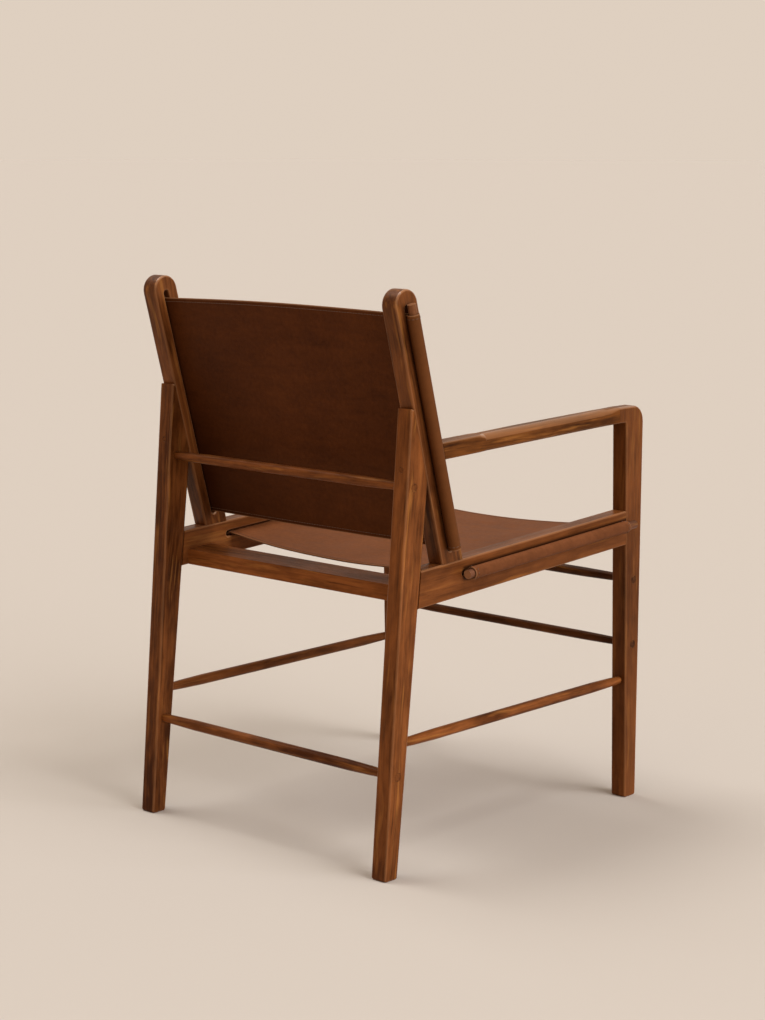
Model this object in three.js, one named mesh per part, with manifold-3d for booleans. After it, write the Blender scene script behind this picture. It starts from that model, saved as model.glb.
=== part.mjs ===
// A dining armchair: a hardwood frame of flat boards and turned bars, with a leather back and a leather seat
// that pass out through slots in the frame and loop round wooden dowels on its outer faces.
// Millimetres, +Z up, front towards -Y, the sitter's left towards +X, floor at Z = 0.

import * as THREE from "three";
import { mergeVertices } from "three/addons/utils/BufferGeometryUtils.js";
import Module from "manifold-3d";

const wasm = await Module();
wasm.setup();

const radians = THREE.MathUtils.degToRad;

// Whole chair
const frameWidth = 513;
const chairDepth = 593;
const chairHeight = 827;
const boardThickness = 27;
const arris = 2.5;
const footChamfer = 4;
const jointGap = 0.3;
const overrun = 60;

// Rear legs
const rearFootWidth = 25.8;
const rearLegBackRake = radians(4.7);
const rearLegFrontRake = radians(6.4);
const rearLegHeight = 662;

// Front legs and the heads that carry the armrests
const frontFootWidth = 27.5;
const frontFootInset = 3.5;
const frontLegBackLean = radians(1.2);
const frontLegHeight = 624;
const headReach = 17;
const headHeight = 25;
const headCrown = 3.5;
const headCornerRadius = 26;
const headFillet = 4;

// Side rails
const railHeight = 53.5;
const railSlope = radians(3.2);
const railFrontTop = 461;

// Back posts
const postWidth = 44.5;
const postLean = radians(15);
const postSetback = 119.5;

// Slots that the leather passes through
const slotWidth = 9;
const backSlotTopMargin = 22.5;
const backSlotFootMargin = 17;
const seatSlotDrop = 21;
const seatSlotRearMargin = 91;
const seatSlotFrontMargin = 8;

// Armrests
const armRearTop = 610;
const armRearHeight = 24.5;
const armSwell = 6;
const armTopRound = 11;
const armUnderRound = 5;
const armBlockLength = 62;
const armShoulderLength = 30;
const armFrontEase = 45;

// Tenons, pegs and dowel pins
const tenonThickness = 10;
const tenonRoot = 6;
const railTenonHeight = 30;
const railTenonLength = 20;
const postTenonWidth = 20;
const postTenonLength = 20;
const postTenonOffset = 4;
const pinRadius = 4;
const pinDepth = 12;
const legPegDrop = 84;

// Rear seat rail
const rearRailDepth = 52;
const rearRailHeight = 24;
const rearRailGap = 12.5;
const rearRailTenonLength = 14;

// Turned bars
const barTenonRadius = 6;
const sideBarTenonLength = 16;
const barShoulderLength = 24;
const barTaperLength = 70;
const backRailRadius = 7.5;
const backRailDrop = 109;
const backRailSetback = 60;
const rearStretcherRadius = 8;
const rearStretcherHeight = 148;
const rearStretcherSetback = 27;
const sideStretcherRadius = 8;
const sideStretcherHeight = 190;
const frontBarSetback = 18;
const frontUpperBarRadius = 7.5;
const frontUpperBarHeight = 350;
const frontLowerBarRadius = 7;
const frontLowerBarHeight = 247;

// Leather and the dowels in its loops
const leatherThickness = 2.4;
const backDowelRadius = 6;
const seatDowelRadius = 6.5;
const loopLift = 2;
const backLeatherTopMargin = 11.5;
const backLeatherFootMargin = 4;
const backDowelTopReach = 14;
const backBow = 2;
const seatLeatherRearMargin = 9.5;
const seatLeatherFrontMargin = 4;
const seatDowelRearReach = 9.5;
const seatDowelFrontReach = 21;
const seatSag = 15;
const flapCover = 4;

// Finishes
const wood = { color: 0x6f3f24, roughness: 0.5, metalness: 0 };
const endGrainWood = { color: 0x59301b, roughness: 0.55, metalness: 0 };
const leather = { color: 0x46281a, roughness: 0.55, metalness: 0 };

// Straight edges of the side view, where a point is (y, z). Each has a point and a direction.
const point = (y, z) => new THREE.Vector2(y, z);
const upwards = (lean) => point(Math.sin(lean), Math.cos(lean));
const downToRear = (slope) => point(Math.cos(slope), -Math.sin(slope));

function edge(through, direction) {
  return { through, direction };
}

// The parallel edge at a distance to the right of an edge's direction.
function beside(line, distance) {
  const right = point(line.direction.y, -line.direction.x);
  return edge(line.through.clone().addScaledVector(right, distance), line.direction);
}

// The same edge, run the other way, so that its right side is the other side.
function turned(line) {
  return edge(line.through, line.direction.clone().negate());
}

// A point moved a distance along an edge's direction.
function moved(at, line, distance) {
  return at.clone().addScaledVector(line.direction, distance);
}

function meet(a, b) {
  const gap = b.through.clone().sub(a.through);
  const t = gap.cross(b.direction) / a.direction.cross(b.direction);
  return a.through.clone().addScaledVector(a.direction, t);
}

const level = (z) => edge(point(0, z), point(1, 0));

// The frame's lines in side view
const rearY = chairDepth / 2;
const frontY = -chairDepth / 2;
const insideHalf = frameWidth / 2 - boardThickness;
const boardCentre = (frameWidth - boardThickness) / 2;

const rearLegBack = edge(point(rearY, 0), upwards(-rearLegBackRake));
const rearLegFront = edge(point(rearY - rearFootWidth, 0), upwards(-rearLegFrontRake));
const frontLegBack = edge(point(frontY + frontFootInset + frontFootWidth, 0), upwards(frontLegBackLean));
const railTop = edge(meet(frontLegBack, level(railFrontTop)), downToRear(railSlope));
const railBottom = beside(railTop, railHeight);
const postFootRear = meet(railTop, edge(point(rearY - postSetback, 0), upwards(0)));
const postBack = edge(postFootRear, upwards(postLean));
const postFront = beside(postBack, -postWidth);
const postMiddle = beside(postBack, -postWidth / 2);
const headBack = edge(
  meet(frontLegBack, level(frontLegHeight - headHeight)).add(point(headReach, 0)),
  upwards(0),
);
const postTopCentre = meet(postMiddle, level(chairHeight - postWidth / 2));

// Outlines and boards

// Replaces the corners that have a radius by arcs, and gives the outline's points.
function roundedOutline(corners) {
  const steps = 6;
  const outline = [];
  corners.forEach(({ at, radius }, i) => {
    if (!radius) {
      outline.push(at);
      return;
    }
    const before = corners[(i + corners.length - 1) % corners.length].at;
    const after = corners[(i + 1) % corners.length].at;
    const back = before.clone().sub(at).normalize();
    const on = after.clone().sub(at).normalize();
    const half = Math.acos(THREE.MathUtils.clamp(back.dot(on), -1, 1)) / 2;
    const reach = radius / Math.tan(half);
    const middle = back.clone().add(on).normalize();
    const centre = at.clone().addScaledVector(middle, radius / Math.sin(half));
    const start = at.clone().addScaledVector(back, reach).sub(centre);
    const end = at.clone().addScaledVector(on, reach).sub(centre);
    const turn = Math.atan2(start.cross(end), start.dot(end));
    for (let k = 0; k <= steps; k += 1) {
      const spoke = start.clone().rotateAround(point(0, 0), (turn * k) / steps);
      outline.push(centre.clone().add(spoke));
    }
  });
  return outline;
}

// Turns a shape drawn in (y, z) and extruded along its own Z into the frame, with the extrusion along X.
const sideways = new THREE.Matrix4().makeBasis(
  new THREE.Vector3(0, 1, 0),
  new THREE.Vector3(0, 0, 1),
  new THREE.Vector3(1, 0, 0),
);

// A board of the side view's outline, centred on X = 0, with its long edges eased.
function board(shape, thickness, easing) {
  const geometry = new THREE.ExtrudeGeometry(shape, {
    depth: thickness - 2 * easing,
    bevelEnabled: easing > 0,
    bevelThickness: easing,
    bevelSize: easing,
    bevelOffset: -easing,
    bevelSegments: 2,
    curveSegments: 10,
  });
  geometry.translate(0, 0, easing - thickness / 2);
  geometry.applyMatrix4(sideways);
  return geometry;
}

function prism(shape, depth, curveSegments) {
  return new THREE.ExtrudeGeometry(shape, { depth, bevelEnabled: false, curveSegments });
}

// A slot with round ends, from one end to the other.
function slotPath(from, to) {
  const angle = Math.atan2(to.y - from.y, to.x - from.x);
  const radius = slotWidth / 2;
  const inset = point(Math.cos(angle), Math.sin(angle)).multiplyScalar(radius);
  const first = from.clone().add(inset);
  const last = to.clone().sub(inset);
  const quarter = Math.PI / 2;
  const path = new THREE.Path();
  path.absarc(last.x, last.y, radius, angle - quarter, angle + quarter, false);
  path.absarc(first.x, first.y, radius, angle + quarter, angle + 3 * quarter, false);
  path.closePath();
  return path;
}

// Joining and cutting
function toSolid(geometry) {
  const bare = geometry.clone();
  bare.deleteAttribute("normal");
  bare.deleteAttribute("uv");
  const merged = mergeVertices(bare);
  return new wasm.Manifold(
    new wasm.Mesh({
      numProp: 3,
      vertProperties: merged.attributes.position.array,
      triVerts: new Uint32Array(merged.index.array),
    }),
  );
}

function fromSolid(solid) {
  const mesh = solid.getMesh();
  const geometry = new THREE.BufferGeometry();
  geometry.setAttribute("position", new THREE.BufferAttribute(mesh.vertProperties, 3));
  geometry.setIndex(new THREE.BufferAttribute(mesh.triVerts, 1));
  return geometry;
}

function cut(solid, geometries) {
  return geometries.reduce((rest, cutter) => rest.subtract(toSolid(cutter)), solid);
}

function join(solid, geometries) {
  return geometries.reduce((whole, piece) => whole.add(toSolid(piece)), solid);
}

// A block that covers everything to the right of an edge, as a cutter.
function allRightOf(line, clearance) {
  const reach = chairHeight + chairDepth;
  const block = new THREE.BoxGeometry(boardThickness + 2 * overrun, reach, 2 * reach);
  const angle = Math.atan2(-line.direction.x, line.direction.y);
  const centre = beside(line, reach / 2 + clearance).through;
  block.rotateX(angle);
  block.translate(0, centre.x, centre.y);
  return block;
}

// A tenon that runs from a joint's face along an edge's direction, with a root behind the face.
// With a clearance it is the mortise for that tenon.
function tenon(line, face, length, width, clearance) {
  const whole = tenonRoot + length + clearance;
  const block = new THREE.BoxGeometry(tenonThickness + 2 * clearance, width + 2 * clearance, whole);
  block.rotateX(Math.atan2(-line.direction.x, line.direction.y));
  const centre = moved(face, line, whole / 2 - tenonRoot);
  block.translate(0, centre.x, centre.y);
  return block;
}

// A round pin in the board's middle plane, from one distance to another along an edge's direction.
function pinAlong(line, face, from, to, radius) {
  const pin = new THREE.CylinderGeometry(radius, radius, to - from, 16);
  pin.rotateX(Math.PI / 2);
  pin.rotateX(Math.atan2(-line.direction.x, line.direction.y));
  const centre = moved(face, line, (from + to) / 2);
  pin.translate(0, centre.x, centre.y);
  return pin;
}

// The hole for a pin, open at the face that the pin enters.
function pinHole(line, face, depth) {
  return pinAlong(line, face, -overrun, depth + jointGap, pinRadius + jointGap);
}

// A round hole right through a board, along X.
function crossHole(y, z) {
  const hole = new THREE.CylinderGeometry(
    barTenonRadius + jointGap,
    barTenonRadius + jointGap,
    boardThickness + 2 * overrun,
    24,
  );
  hole.rotateZ(Math.PI / 2);
  hole.translate(0, y, z);
  return hole;
}

// Where the joints lie
const railMiddle = beside(railTop, railHeight / 2);
const railRearEnd = meet(railMiddle, rearLegFront);
const railFrontEnd = meet(railMiddle, frontLegBack);
const railForward = turned(railTop);
const postTenonLine = turned(postMiddle);
const postTenonStart = meet(beside(postMiddle, postTenonOffset), railTop);

const acrossPost = edge(postFootRear, point(-Math.cos(postLean), Math.sin(postLean)));
const armRearMiddle = meet(postFront, level(armRearTop - armRearHeight / 2));
const armFrontMiddle = meet(headBack, level(frontLegHeight - headHeight / 2));
const forwards = edge(armFrontMiddle, point(-1, 0));

const legPegStart = meet(rearLegBack, level(rearLegHeight - legPegDrop));
const acrossLeg = edge(legPegStart, point(-Math.cos(rearLegBackRake), -Math.sin(rearLegBackRake)));
const legPegInPost = meet(acrossLeg, postBack);
const legPegLength = legPegInPost.distanceTo(legPegStart) + pinDepth;

const backRailY = rearY - backRailSetback;
const backRailHeight = rearLegHeight - backRailDrop;
const rearStretcherY = rearY - rearStretcherSetback;
const frontBarY = frontY + frontBarSetback;
const sideStretcherRear = meet(rearLegFront, level(sideStretcherHeight)).x;
const sideStretcherFront = meet(frontLegBack, level(sideStretcherHeight)).x;

const rearRailBack = beside(rearLegFront, -rearRailGap);
const rearRailCorner = meet(rearRailBack, railBottom);

const backSlotFoot = moved(meet(postMiddle, railTop), postMiddle, backSlotFootMargin);
const backSlotTop = moved(postTopCentre, postMiddle, postWidth / 2 - backSlotTopMargin);
const seatSlotLine = turned(beside(railTop, seatSlotDrop));
const seatSlotRear = moved(meet(seatSlotLine, rearLegFront), seatSlotLine, seatSlotRearMargin);
const seatSlotFront = moved(meet(seatSlotLine, frontLegBack), seatSlotLine, -seatSlotFrontMargin);

// Boards of one side. Each is centred on X = 0, with the inside of the chair towards -X.
function rearLeg() {
  const top = level(rearLegHeight);
  const shape = new THREE.Shape(roundedOutline([
    { at: meet(rearLegFront, level(0)), radius: footChamfer },
    { at: meet(rearLegBack, level(0)), radius: footChamfer },
    { at: meet(rearLegBack, top) },
    { at: meet(rearLegFront, top) },
  ]));
  const body = cut(toSolid(board(shape, boardThickness, arris)), [allRightOf(turned(postBack), -jointGap)]);
  return fromSolid(cut(body, [
    crossHole(backRailY, backRailHeight),
    crossHole(rearStretcherY, rearStretcherHeight),
    tenon(railTop, railRearEnd, railTenonLength, railTenonHeight, jointGap),
    pinHole(acrossLeg, legPegStart, legPegLength),
    sideBarSocket(sideStretcherRear, 1),
  ]));
}

function sideBarSocket(faceY, away) {
  const depth = sideBarTenonLength + jointGap;
  const hole = new THREE.CylinderGeometry(
    barTenonRadius + jointGap,
    barTenonRadius + jointGap,
    depth + overrun / 4,
    24,
  );
  hole.translate(0, faceY + away * (depth - overrun / 4) / 2, sideStretcherHeight);
  return hole;
}

function backPost() {
  const frontFoot = moved(postFront.through, postFront, -overrun);
  const rearFoot = moved(postFootRear, postBack, -overrun);
  const shape = new THREE.Shape();
  shape.absarc(postTopCentre.x, postTopCentre.y, postWidth / 2, -postLean, Math.PI - postLean, false);
  shape.lineTo(frontFoot.x, frontFoot.y);
  shape.lineTo(rearFoot.x, rearFoot.y);
  shape.closePath();
  shape.holes.push(slotPath(backSlotFoot, backSlotTop));
  const body = cut(toSolid(board(shape, boardThickness, arris)), [allRightOf(railTop, -jointGap)]);
  const tenoned = join(body, [tenon(postTenonLine, postTenonStart, postTenonLength, postTenonWidth, 0)]);
  return fromSolid(cut(tenoned, [
    pinHole(acrossLeg, legPegStart, legPegLength),
    pinHole(turned(acrossPost), armRearMiddle, pinDepth),
  ]));
}

function sideRail() {
  const shape = new THREE.Shape([
    meet(railBottom, beside(frontLegBack, -overrun)),
    meet(railBottom, beside(rearLegFront, overrun)),
    meet(railTop, beside(rearLegFront, overrun)),
    meet(railTop, beside(frontLegBack, -overrun)),
  ]);
  shape.holes.push(slotPath(seatSlotFront, seatSlotRear));
  const body = cut(toSolid(board(shape, boardThickness, arris)), [
    allRightOf(rearLegFront, -jointGap),
    allRightOf(turned(frontLegBack), -jointGap),
  ]);
  const tenoned = join(body, [
    tenon(railTop, railRearEnd, railTenonLength, railTenonHeight, 0),
    tenon(railForward, railFrontEnd, railTenonLength, railTenonHeight, 0),
  ]);
  return fromSolid(cut(tenoned, [
    tenon(postTenonLine, postTenonStart, postTenonLength, postTenonWidth, jointGap),
    rearRailTenon(-boardThickness / 2, jointGap),
  ]));
}

function frontLeg() {
  const headFloor = level(frontLegHeight - headHeight);
  const top = level(frontLegHeight);
  const shape = new THREE.Shape(roundedOutline([
    { at: point(frontY + frontFootInset, 0), radius: footChamfer },
    { at: meet(frontLegBack, level(0)), radius: footChamfer },
    { at: meet(frontLegBack, headFloor), radius: headFillet },
    { at: meet(headBack, headFloor).add(point(overrun, 0)) },
    { at: meet(headBack, top).add(point(overrun, 0)) },
    { at: point(frontY, frontLegHeight), radius: headCornerRadius },
    { at: point(frontY, railFrontTop) },
  ]));
  const body = cut(toSolid(board(shape, boardThickness, arris)), [allRightOf(headBack, 0)]);
  return fromSolid(cut(body, [
    ...headRounders(),
    crossHole(frontBarY, frontUpperBarHeight),
    crossHole(frontBarY, frontLowerBarHeight),
    tenon(railForward, railFrontEnd, railTenonLength, railTenonHeight, jointGap),
    pinHole(forwards, armFrontMiddle, pinDepth),
    sideBarSocket(sideStretcherFront, -1),
  ]));
}

// The tenon at the end of the rear seat rail, or the mortise for it, from a plane of the given X inwards.
function rearRailTenon(x, clearance) {
  const tenon = new THREE.BoxGeometry(
    2 * rearRailTenonLength + 2 * clearance,
    rearRailDepth / 2 + 2 * clearance,
    tenonThickness + 2 * clearance,
  );
  tenon.rotateX(-railSlope);
  const middle = rearRailMiddle();
  tenon.translate(x, middle.x, middle.y);
  return tenon;
}

function rearRailMiddle() {
  return rearRailCorner.clone()
    .addScaledVector(railTop.direction, -rearRailDepth / 2)
    .add(point(Math.sin(railSlope), Math.cos(railSlope)).multiplyScalar(rearRailHeight / 2));
}

// An armrest: a closed loft. Its rear end is a square block, then a scooped shoulder leads to a rounded grip
// that swells inwards, and the front end takes the crowned shape of the front leg's head.
function armrest() {
  const rear = armRearMiddle.clone().add(point(-jointGap, 0));
  const front = armFrontMiddle.clone().add(point(jointGap, 0));
  const reach = rear.distanceTo(front);
  const stations = armStations(reach);
  const positions = [];
  let sides = 0;
  for (const { distance, grip } of stations) {
    const u = distance / reach;
    const middle = rear.clone().lerp(front, u);
    const head = 1 - THREE.MathUtils.smoothstep(reach - distance, 0, armFrontEase);
    const blend = (block, gripped, headed) => THREE.MathUtils.lerp(
      THREE.MathUtils.lerp(block, gripped, grip),
      headed,
      head,
    );
    const swell = armSwell * grip * (1 - head) * Math.sin(Math.PI * u);
    const section = roundedSection(
      boardThickness + swell,
      THREE.MathUtils.lerp(armRearHeight, headHeight, u),
      point(blend(arris, armTopRound, boardThickness / 2), blend(arris, armTopRound, headCrown)),
      blend(arris, armUnderRound, arris),
    );
    const lean = Math.tan(postLean) * (1 - THREE.MathUtils.smoothstep(distance, 0, armBlockLength));
    sides = section.length;
    for (const { x, y: z } of section) {
      positions.push(x - swell / 2, middle.x + lean * z, middle.y + z);
    }
  }
  const blank = toSolid(closedLoft(positions, sides, stations.length - 1));
  return fromSolid(cut(blank, [
    pinHole(acrossPost, armRearMiddle, pinDepth),
    pinHole(turned(forwards), armFrontMiddle, pinDepth),
  ]));
}

// Where the armrest's sections lie, and how far each has gone from the square block to the grip. The shoulder
// is a quarter of an ellipse, so it ends steeply.
function armStations(reach) {
  const shoulderSteps = 7;
  const blockSteps = 3;
  const gripSteps = 14;
  const stations = [];
  for (let k = 0; k < blockSteps; k += 1) {
    stations.push({ distance: (armBlockLength * k) / blockSteps, grip: 0 });
  }
  for (let k = 0; k <= shoulderSteps; k += 1) {
    const angle = (Math.PI / 2) * (k / shoulderSteps);
    stations.push({ distance: armBlockLength + armShoulderLength * Math.sin(angle), grip: 1 - Math.cos(angle) });
  }
  const gripStart = armBlockLength + armShoulderLength;
  for (let k = 1; k <= gripSteps; k += 1) {
    stations.push({ distance: THREE.MathUtils.lerp(gripStart, reach, k / gripSteps), grip: 1 });
  }
  return stations;
}

// A rectangle about the origin with elliptical upper corners, (across, down), and round lower corners.
function roundedSection(width, height, upper, under) {
  const steps = 6;
  const section = [];
  for (let corner = 0; corner < 4; corner += 1) {
    const round = corner < 2 ? upper : point(under, under);
    const right = corner === 0 || corner === 3 ? 1 : -1;
    const up = corner < 2 ? 1 : -1;
    const centre = point(right * (width / 2 - round.x), up * (height / 2 - round.y));
    for (let k = 0; k <= steps; k += 1) {
      const angle = (Math.PI / 2) * (corner + k / steps);
      section.push(point(round.x * Math.cos(angle), round.y * Math.sin(angle)).add(centre));
    }
  }
  return section;
}

// Cutters that crown the top of the front leg's head, one for each side.
function headRounders() {
  return [1, -1].map((side) => {
    const half = boardThickness / 2;
    const crownFoot = frontLegHeight - headCrown;
    const shape = new THREE.Shape();
    shape.absellipse(0, crownFoot, half, headCrown, 0, Math.PI / 2, false, 0);
    shape.lineTo(0, frontLegHeight + headCrown);
    shape.lineTo(2 * half, frontLegHeight + headCrown);
    shape.lineTo(2 * half, crownFoot);
    shape.closePath();
    const length = headBack.through.x - frontY + 2 * overrun;
    const rounder = prism(shape, length, 3);
    rounder.rotateX(Math.PI / 2);
    rounder.translate(0, headBack.through.x + overrun, 0);
    return side > 0 ? rounder : mirrored(rounder);
  });
}

function closedLoft(positions, sides, stations) {
  const index = [];
  for (let i = 0; i < stations; i += 1) {
    for (let k = 0; k < sides; k += 1) {
      const next = (k + 1) % sides;
      const a = i * sides + k;
      const b = i * sides + next;
      index.push(a, b, a + sides, b, b + sides, a + sides);
    }
  }
  const last = stations * sides;
  for (let k = 1; k < sides - 1; k += 1) {
    index.push(0, k + 1, k);
    index.push(last, last + k, last + k + 1);
  }
  const geometry = new THREE.BufferGeometry();
  geometry.setAttribute("position", new THREE.Float32BufferAttribute(positions, 3));
  geometry.setIndex(index);
  return geometry;
}

// Turned bars, along X or Y. The ends that sit in the legs are thinner than the middle.
function turnedBar(span, tenonLength, radius) {
  const half = span / 2;
  const profile = [
    new THREE.Vector2(0, -half - tenonLength),
    new THREE.Vector2(barTenonRadius, -half - tenonLength),
    new THREE.Vector2(barTenonRadius, -half),
    new THREE.Vector2((barTenonRadius + radius) / 2, -half + barShoulderLength),
    new THREE.Vector2(radius, -half + barTaperLength),
    new THREE.Vector2(radius, half - barTaperLength),
    new THREE.Vector2((barTenonRadius + radius) / 2, half - barShoulderLength),
    new THREE.Vector2(barTenonRadius, half),
    new THREE.Vector2(barTenonRadius, half + tenonLength),
    new THREE.Vector2(0, half + tenonLength),
  ];
  return new THREE.LatheGeometry(profile, 24);
}

// The rear seat rail: a flat bar between the side rails, level with their lower edges.
function rearSeatRail() {
  const middle = rearRailMiddle();
  const halfDepth = railTop.direction.clone().multiplyScalar(rearRailDepth / 2);
  const halfHeight = point(Math.sin(railSlope), Math.cos(railSlope)).multiplyScalar(rearRailHeight / 2);
  const shape = new THREE.Shape(roundedOutline([
    { at: middle.clone().sub(halfDepth).sub(halfHeight), radius: arris },
    { at: middle.clone().add(halfDepth).sub(halfHeight), radius: arris },
    { at: middle.clone().add(halfDepth).add(halfHeight), radius: arris },
    { at: middle.clone().sub(halfDepth).add(halfHeight), radius: arris },
  ]));
  const bar = toSolid(board(shape, 2 * (insideHalf - jointGap), 0));
  return fromSolid(join(bar, [-1, 1].map((side) => rearRailTenon(side * insideHalf, 0))));
}

// A loop in section, where x runs across the chair and y out of the sling's plane. The stiff, sewn leather
// leaves the slot as a wedge whose flanks touch the slot's eased edges, and it turns round the dowel.
function loopSection(dowelRadius) {
  const bore = dowelRadius + jointGap;
  const outer = bore + leatherThickness;
  const seat = outer + arris + jointGap;
  const across = slotWidth / 2 + arris;
  const standoff = Math.sqrt(seat ** 2 - across ** 2) + loopLift;
  const flank = Math.PI - Math.atan2(across, standoff) - Math.acos(seat / Math.hypot(standoff, across));
  const centre = frameWidth / 2 - arris + standoff;
  const neck = centre + (outer - leatherThickness * Math.sin(flank)) / Math.cos(flank);
  const apex = centre + bore / Math.cos(flank);
  return { bore, outer, flank, centre, neck, apex };
}

// The part of a circle about a loop's centre that its flanks leave, from the lower flank to the upper one.
function loopArc({ centre, flank }, radius) {
  const steps = 20;
  const arc = [];
  for (let k = 0; k <= steps; k += 1) {
    const angle = flank * ((2 * k) / steps - 1);
    arc.push(point(centre + radius * Math.cos(angle), radius * Math.sin(angle)));
  }
  return arc;
}

// Half of a sling's section, from its middle round the loop and back.
function slingHalf(loop, sag) {
  const spanSteps = 16;
  const half = leatherThickness / 2;
  const middleLine = (x) => (x > insideHalf
    ? half * THREE.MathUtils.inverseLerp(insideHalf, loop.neck, x)
    : -sag * (1 - (x / insideHalf) ** 2));
  const under = [];
  const over = [];
  for (let k = 0; k <= spanSteps; k += 1) {
    const x = (insideHalf * k) / spanSteps;
    under.push(point(x, middleLine(x) - half));
    over.unshift(point(x, middleLine(x) + half));
  }
  const flapEnd = insideHalf + flapCover;
  under.push(point(flapEnd, middleLine(flapEnd) - half));
  under.push(point(flapEnd, middleLine(flapEnd) - half - leatherThickness));
  const lowerNeck = point(loop.neck, -leatherThickness);
  const upperNeck = point(loop.neck, leatherThickness);
  return [...under, lowerNeck, ...loopArc(loop, loop.outer), upperNeck, ...over];
}

// A sling: one sheet across the chair, doubled in the slots and looped round a dowel at each end.
function sling(dowelRadius, sag, length) {
  const loop = loopSection(dowelRadius);
  const right = slingHalf(loop, sag);
  const mirror = (points) => points.reverse().map((p) => point(-p.x, p.y));
  const shape = new THREE.Shape([...right, ...mirror(right.slice(1, -1))]);
  const bore = [point(loop.apex, 0), ...loopArc(loop, loop.bore)];
  shape.holes.push(new THREE.Path([...bore]), new THREE.Path(mirror([...bore])));
  return prism(shape, length, 1);
}

function mirrored(geometry) {
  const copy = mergeVertices(geometry);
  const position = copy.attributes.position;
  for (let i = 0; i < position.count; i += 1) {
    position.setX(i, -position.getX(i));
  }
  const index = copy.index.array;
  for (let i = 0; i < index.length; i += 3) {
    [index[i], index[i + 1]] = [index[i + 1], index[i]];
  }
  return copy;
}

// Assembly
const chair = new THREE.Group();

function mesh(name, geometry, finish, parent) {
  const part = new THREE.Mesh(geometry, new THREE.MeshStandardMaterial(finish));
  part.name = name;
  parent.add(part);
  return part;
}

const sideBoards = {
  rear_leg: rearLeg(),
  back_post: backPost(),
  side_rail: sideRail(),
  front_leg: frontLeg(),
  armrest: armrest(),
};

for (const [label, side] of [["left", 1], ["right", -1]]) {
  const group = new THREE.Group();
  group.position.x = side * boardCentre;
  chair.add(group);
  for (const [name, geometry] of Object.entries(sideBoards)) {
    mesh(`${name}_${label}`, side > 0 ? geometry : mirrored(geometry), wood, group);
  }
  mesh(`leg_peg_${label}`, pinAlong(acrossLeg, legPegStart, 0, legPegLength, pinRadius), endGrainWood, group);
  const armPins = {
    arm_rear_pin: [acrossPost, armRearMiddle],
    arm_front_pin: [forwards, armFrontMiddle],
  };
  for (const [name, [line, face]] of Object.entries(armPins)) {
    mesh(`${name}_${label}`, pinAlong(line, face, -pinDepth, pinDepth, pinRadius), wood, group);
  }
  const between = sideStretcherRear - sideStretcherFront;
  const bar = mesh(
    `side_stretcher_${label}`,
    turnedBar(between, sideBarTenonLength, sideStretcherRadius),
    wood,
    group,
  );
  bar.position.set(0, (sideStretcherRear + sideStretcherFront) / 2, sideStretcherHeight);
}

const crossBars = {
  back_rail: [backRailY, backRailHeight, backRailRadius],
  rear_stretcher: [rearStretcherY, rearStretcherHeight, rearStretcherRadius],
  front_upper_stretcher: [frontBarY, frontUpperBarHeight, frontUpperBarRadius],
  front_lower_stretcher: [frontBarY, frontLowerBarHeight, frontLowerBarRadius],
};
for (const [name, [y, z, radius]] of Object.entries(crossBars)) {
  const bar = mesh(name, turnedBar(2 * insideHalf, boardThickness, radius), wood, chair);
  bar.position.set(0, y, z);
  bar.rotation.z = -Math.PI / 2;
}

mesh("rear_seat_rail", rearSeatRail(), wood, chair);

// The slings and their dowels stand in a frame whose Z runs along the slots.
const backFrame = new THREE.Group();
backFrame.position.set(0, backSlotFoot.x, backSlotFoot.y);
backFrame.rotation.x = -postLean;
chair.add(backFrame);
const backSlotLength = backSlotFoot.distanceTo(backSlotTop);
const backLeatherLength = backSlotLength - backLeatherTopMargin - backLeatherFootMargin;
const backDowelLength = backLeatherLength + backDowelTopReach;
const backSling = sling(backDowelRadius, -backBow, backLeatherLength);
const backLeather = mesh("back_leather", backSling, leather, backFrame);
backLeather.position.z = backLeatherFootMargin;

const seatFrame = new THREE.Group();
seatFrame.position.set(0, seatSlotRear.x, seatSlotRear.y);
seatFrame.rotation.x = Math.PI / 2 - railSlope;
chair.add(seatFrame);
const seatSlotLength = seatSlotRear.distanceTo(seatSlotFront);
const seatLeatherLength = seatSlotLength - seatLeatherRearMargin - seatLeatherFrontMargin;
const seatDowelLength = seatLeatherLength + seatDowelRearReach + seatDowelFrontReach;
const seatSling = sling(seatDowelRadius, seatSag, seatLeatherLength);
const seatLeather = mesh("seat_leather", seatSling, leather, seatFrame);
seatLeather.position.z = seatLeatherRearMargin;

function dowel(name, parent, radius, length, x, start) {
  const geometry = new THREE.CylinderGeometry(radius, radius, length, 24);
  const pin = mesh(name, geometry, wood, parent);
  pin.rotation.x = Math.PI / 2;
  pin.position.set(x, 0, start + length / 2);
}

for (const [label, side] of [["left", 1], ["right", -1]]) {
  dowel(`back_dowel_${label}`, backFrame, backDowelRadius, backDowelLength,
    side * loopSection(backDowelRadius).centre, backLeatherFootMargin);
  dowel(`seat_dowel_${label}`, seatFrame, seatDowelRadius, seatDowelLength,
    side * loopSection(seatDowelRadius).centre, seatLeatherRearMargin - seatDowelRearReach);
}

export default chair;
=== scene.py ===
# A dining armchair: dark oiled hardwood boards and bars, with a leather back and seat slung between them.
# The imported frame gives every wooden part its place. This script gives the parts their surfaces, and builds
# the two leather slings with their loops, cut edges and stitching. Metres, +Z up, front towards -Y.

import math

import bmesh
import bpy
from mathutils import Matrix, Vector, noise


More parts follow.
